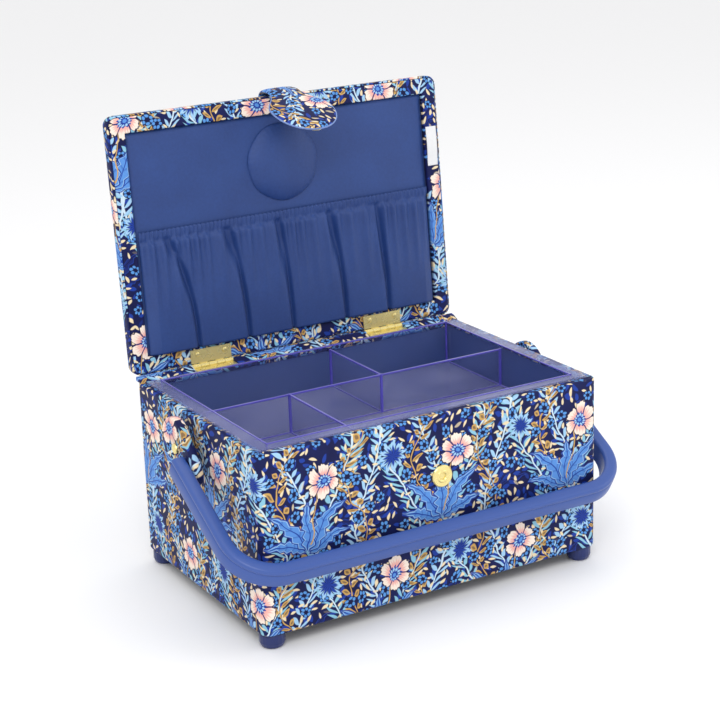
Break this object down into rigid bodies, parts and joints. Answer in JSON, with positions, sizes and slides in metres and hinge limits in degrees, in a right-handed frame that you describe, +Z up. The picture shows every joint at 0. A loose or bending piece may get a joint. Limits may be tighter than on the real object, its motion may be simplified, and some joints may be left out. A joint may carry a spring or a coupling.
{
  "type": "sewing box",
  "caption": "Fabric-covered rectangular sewing box with a hinged padded lid, closure tab, front-resting carrying handle and a lift-out clear tray.",
  "frame": {"origin": "centre of the overall outline, on the surface the feet stand on", "axes": "+Z up, +Y towards the hinges at the back, +X to the right of someone facing the front"},
  "size_m": [0.359, 0.268, 0.3756],
  "materials": {
    "print_cloth": "printed cotton, blue ground",
    "lining_cloth": "plain blue woven lining",
    "board": "dense board",
    "wadding": "soft wadding",
    "base_felt": "dark base cloth",
    "label_cloth": "woven tape, plain",
    "elastic": "flat elastic",
    "brass": "polished",
    "blue_plastic": "satin moulded",
    "dark_plastic": "satin moulded",
    "clear_plastic": "clear violet tint"
  },
  "bodies": {
    "case": {"outer_cover": "print_cloth", "front_board": "board", "back_board": "board", "left_board": "board", "right_board": "board", "base_board": "board", "base_cover": "base_felt", "front_lining": "lining_cloth", "back_lining": "lining_cloth", "left_lining": "lining_cloth", "right_lining": "lining_cloth", "floor_lining": "lining_cloth", "foot_front_left": "dark_plastic", "foot_front_right": "dark_plastic", "foot_back_left": "dark_plastic", "foot_back_right": "dark_plastic", "snap_socket": "brass", "case_leaf_left": "brass", "case_leaf_right": "brass", "hinge_pin_left": "brass", "hinge_pin_right": "brass", "case_rivet_left_1": "brass", "case_rivet_left_2": "brass", "case_rivet_right_1": "brass", "case_rivet_right_2": "brass", "pivot_spacer_left": "brass", "pivot_spacer_right": "brass", "pivot_rivet_left": "brass", "pivot_rivet_right": "brass"},
    "lid": {"lid_frame": "print_cloth", "lid_lining": "lining_cloth", "lid_board": "board", "lid_padding": "wadding", "lid_cover": "print_cloth", "pocket": "lining_cloth", "pocket_elastic": "elastic", "pin_cushion": "lining_cloth", "label": "label_cloth", "tab_anchor": "print_cloth", "lid_leaf_left": "brass", "lid_leaf_right": "brass", "lid_rivet_left_1": "brass", "lid_rivet_left_2": "brass", "lid_rivet_right_1": "brass", "lid_rivet_right_2": "brass"},
    "strap": {"tab_strap": "print_cloth"},
    "tongue": {"tab_tongue": "print_cloth", "snap_stud": "brass"},
    "handle": {"handle_bail": "blue_plastic", "ear_left": "print_cloth", "ear_right": "print_cloth"},
    "tray": {"tray": "clear_plastic"}
  },
  "joints": [
    {"name": "lid_hinge", "type": "hinge", "parent": "case", "child": "lid", "pos_m": [0, 0.09629, 0.1593], "axis": [1, 0, 0], "range_deg": [0, 95]},
    {"name": "strap_bend", "type": "hinge", "parent": "lid", "child": "strap", "pos_m": [0, 0.12791, 0.37155], "axis": [-1, 0, 0], "range_deg": [0, 26]},
    {"name": "flap_fold", "type": "hinge", "parent": "strap", "child": "tongue", "pos_m": [0, 0.10986, 0.37394], "axis": [-1, 0, 0], "range_deg": [0, 85]},
    {"name": "handle_swing", "type": "hinge", "parent": "case", "child": "handle", "pos_m": [0, -0.00621, 0.133], "axis": [-1, 0, 0], "range_deg": [0, 119]},
    {"name": "tray_lift", "type": "slide", "parent": "case", "child": "tray", "axis": [0, 0, 1], "range_m": [0, 0.08]}
  ],
  "couplings": [
    {"joint": "strap_bend", "follows": "lid_hinge", "ratio": 0.27368}
  ]
}
